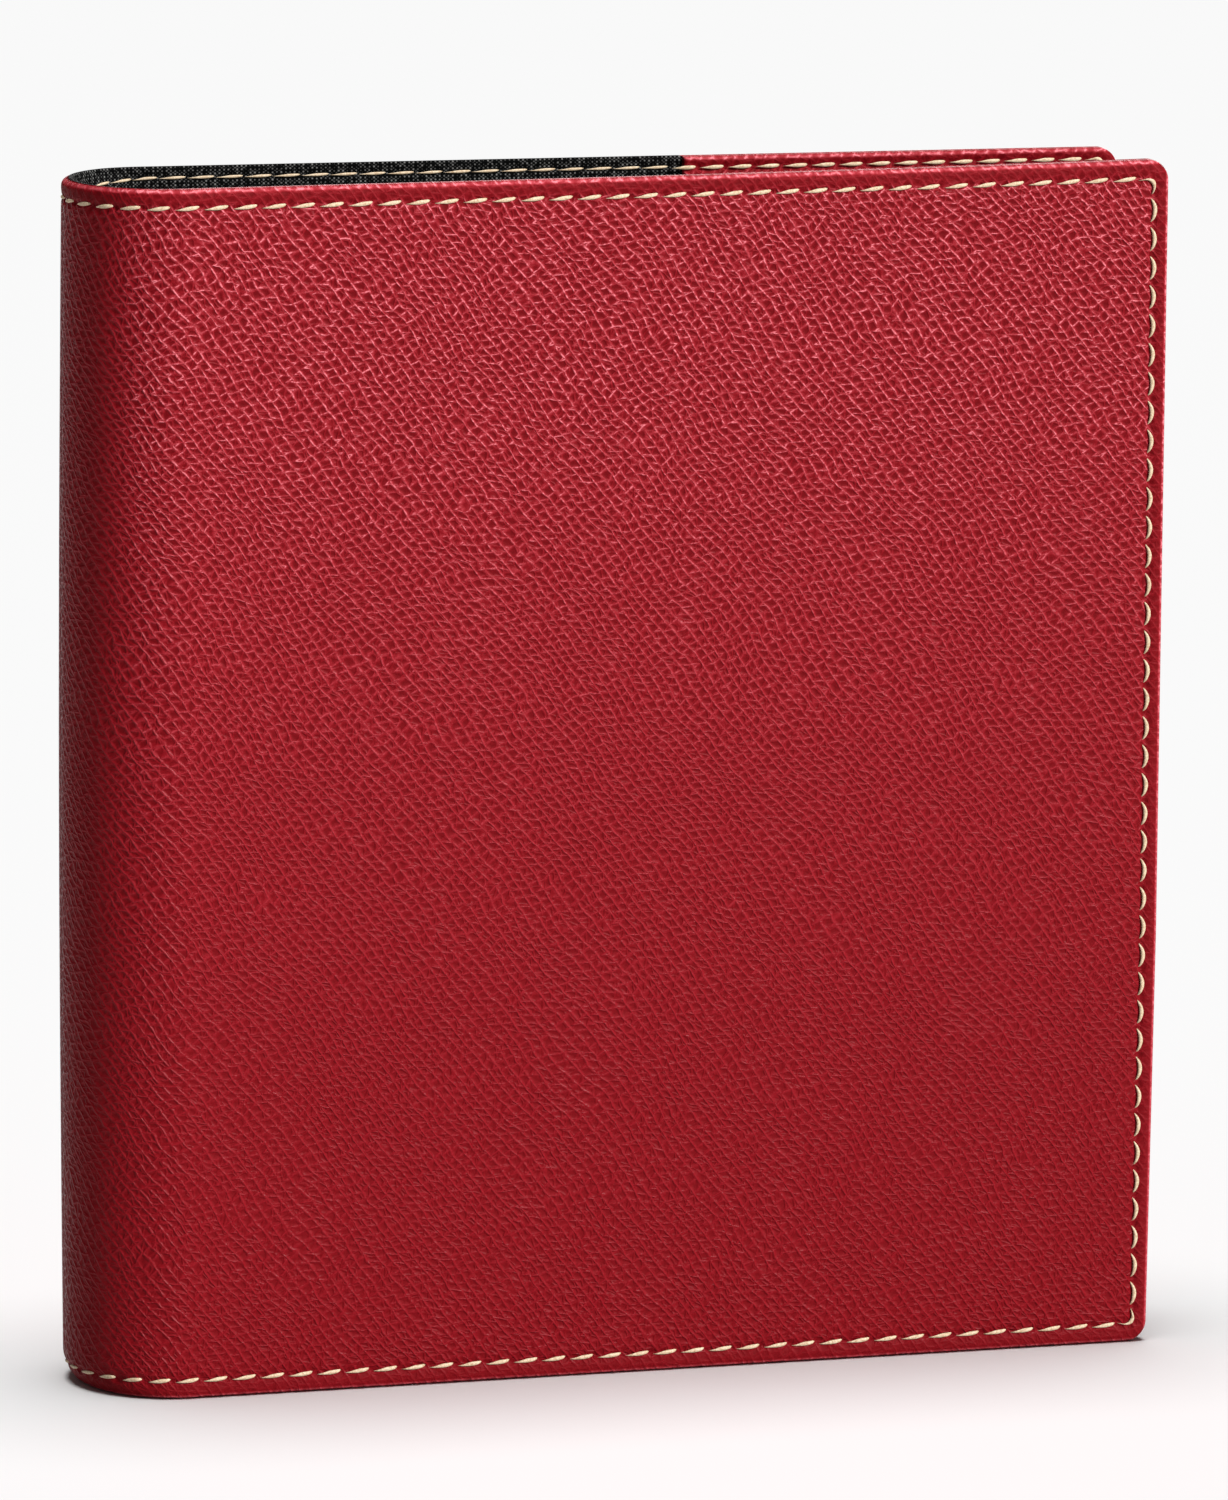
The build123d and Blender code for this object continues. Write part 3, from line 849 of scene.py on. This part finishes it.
def make_guard(leaf):
    """The cloth that joins a leaf to the spine strip."""
    x, y, _ = JOINTS[leaf + "_turn"]["pos_m"]
    line = [(STRIP_INNER_X, y), (x + GUARD_REACH, y)]
    guard, _ = cloth_strip(leaf + "_guard", line, GUARD_THICKNESS / 2)
    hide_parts("leaf_guards")
    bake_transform(guard)


def make_joint_cloth(side):
    """The cloth that joins a board of the stock book to its spine strip."""
    name = SIDE_NAMES[side]
    glued = [BOARD_START, BOARD_START + GLUED_LENGTH]
    on_board = jacket_points(side, glued, 0, BOARD_DEPTH + 0.1 * MM)[:, :2]
    on_strip = (STRIP_INNER_X + 0.3 * MM, side * (STRIP_HALF_WIDTH - MM))
    strip_edge = (STRIP_INNER_X + 0.4 * MM, side * STRIP_HALF_WIDTH)
    line = [on_strip, strip_edge, *on_board]
    cloth, cut = cloth_strip(f"{name}_joint_cloth", line, JOINT_CLOTH / 2)
    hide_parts(f"{name}_book_joint_cloth")
    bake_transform(cloth)


for leaf in sorted(name for name in frame["bodies"] if name.startswith("leaf_")):
    make_guard(leaf)
for side in (FRONT, BACK):
    make_joint_cloth(side)

CAD_MATERIALS = {
    "film_strips": FILM,
    "interleaf": GLASSINE,
    "page": CARD,
    "book_board": CARD,
    "spine_strip": CARD,
    "stiffener": GREY_BOARD,
    "sewing_thread": THREAD,
}
for name, cad_node in frame["nodes"].items():
    for part, made in CAD_MATERIALS.items():
        if name.endswith(part):
            paint(cad_node, made)


# Studio

FLOOR_REACH = 12.0
CAMERA_TURNS = 15.256, 9.848, 0.417  # azimuth to the left of the front, elevation and roll, in degrees
CAMERA_DISTANCE = 1.8259
CAMERA_SHIFT = -1.463 * MM, -2.676 * MM  # of the album's middle in the view, to the right and up
CAMERA_LENS, CAMERA_SENSOR, CAMERA_RANGE = 251.09, 36.0, 50.0
KEY_DIRECTION, KEY_SPREAD, KEY_POWER = (0.533, -0.733, 0.423), 14, 5.55
FILL_DIRECTION, FILL_SPREAD, FILL_POWER = (0.42, 0.82, 0.40), 40, 3.0
OVERHEAD_SPREAD, OVERHEAD_POWER = 30, 3.25
WORLD_POWER = 0.06


def make_floor():
    """A plain floor, and the collection that keeps a light off it."""
    mesh = bpy.data.meshes.new("floor")
    corners = [(x * FLOOR_REACH, y * FLOOR_REACH, 0) for x, y in ((-1, -1), (1, -1), (1, 1), (-1, 1))]
    mesh.from_pydata(corners, [], [(0, 1, 2, 3)])
    floor = bpy.data.objects.new("floor", mesh)
    bpy.context.scene.collection.objects.link(floor)
    made, _, shader = material("pale_floor")
    shader.inputs["Base Color"].default_value = (0.90, 0.90, 0.90, 1)
    shader.inputs["Roughness"].default_value = 0.9
    paint(floor, made)
    unlit = bpy.data.collections.new("unlit_by_key")
    unlit.objects.link(floor)
    unlit.collection_objects[0].light_linking.link_state = "EXCLUDE"
    return unlit


def sun_light(name, direction, spread, power):
    """An even light from far away, in the given direction and softened over some degrees."""
    light = bpy.data.lights.new(name, "SUN")
    light.energy = power
    light.angle = math.radians(spread)
    lamp = bpy.data.objects.new(name, light)
    lamp.rotation_euler = (-Vector(direction)).to_track_quat("-Z", "Y").to_euler()
    bpy.context.scene.collection.objects.link(lamp)
    return lamp


def make_camera():
    """A long lens to the left of the front cover and a little above it."""
    azimuth, elevation, roll = (math.radians(angle) for angle in CAMERA_TURNS)
    ahead = Vector((math.sin(azimuth), math.cos(azimuth), 0))
    forward = ahead * math.cos(elevation) - Vector((0, 0, math.sin(elevation)))
    level = Vector((math.cos(azimuth), -math.sin(azimuth), 0))
    upright = level.cross(forward)
    right = math.cos(roll) * level + math.sin(roll) * upright
    up = math.cos(roll) * upright - math.sin(roll) * level
    middle = Vector((0, 0, HEIGHT / 2))
    place = middle - CAMERA_SHIFT[0] * right - CAMERA_SHIFT[1] * up - CAMERA_DISTANCE * forward
    camera = bpy.data.cameras.new("camera")
    camera.sensor_width = CAMERA_SENSOR
    camera.lens = CAMERA_LENS
    camera.clip_end = CAMERA_RANGE
    holder = bpy.data.objects.new("camera", camera)
    axes = Matrix((right, up, -forward)).transposed()
    holder.matrix_world = Matrix.Translation(place) @ axes.to_4x4()
    bpy.context.scene.collection.objects.link(holder)
    bpy.context.scene.camera = holder


all_but_floor = make_floor()
make_camera()
key_light = sun_light("key", KEY_DIRECTION, KEY_SPREAD, KEY_POWER)
back_fill = sun_light("back_fill", FILL_DIRECTION, FILL_SPREAD, FILL_POWER)
for lamp in (key_light, back_fill):
    lamp.light_linking.receiver_collection = all_but_floor
sun_light("overhead", (0, 0, 1), OVERHEAD_SPREAD, OVERHEAD_POWER)
world = bpy.data.worlds.new("studio")
world.use_nodes = True
background = world.node_tree.nodes["Background"]
background.inputs["Color"].default_value = (1, 1, 1, 1)
background.inputs["Strength"].default_value = WORLD_POWER
bpy.context.scene.world = world
bpy.context.scene.view_settings.view_transform = "Standard"
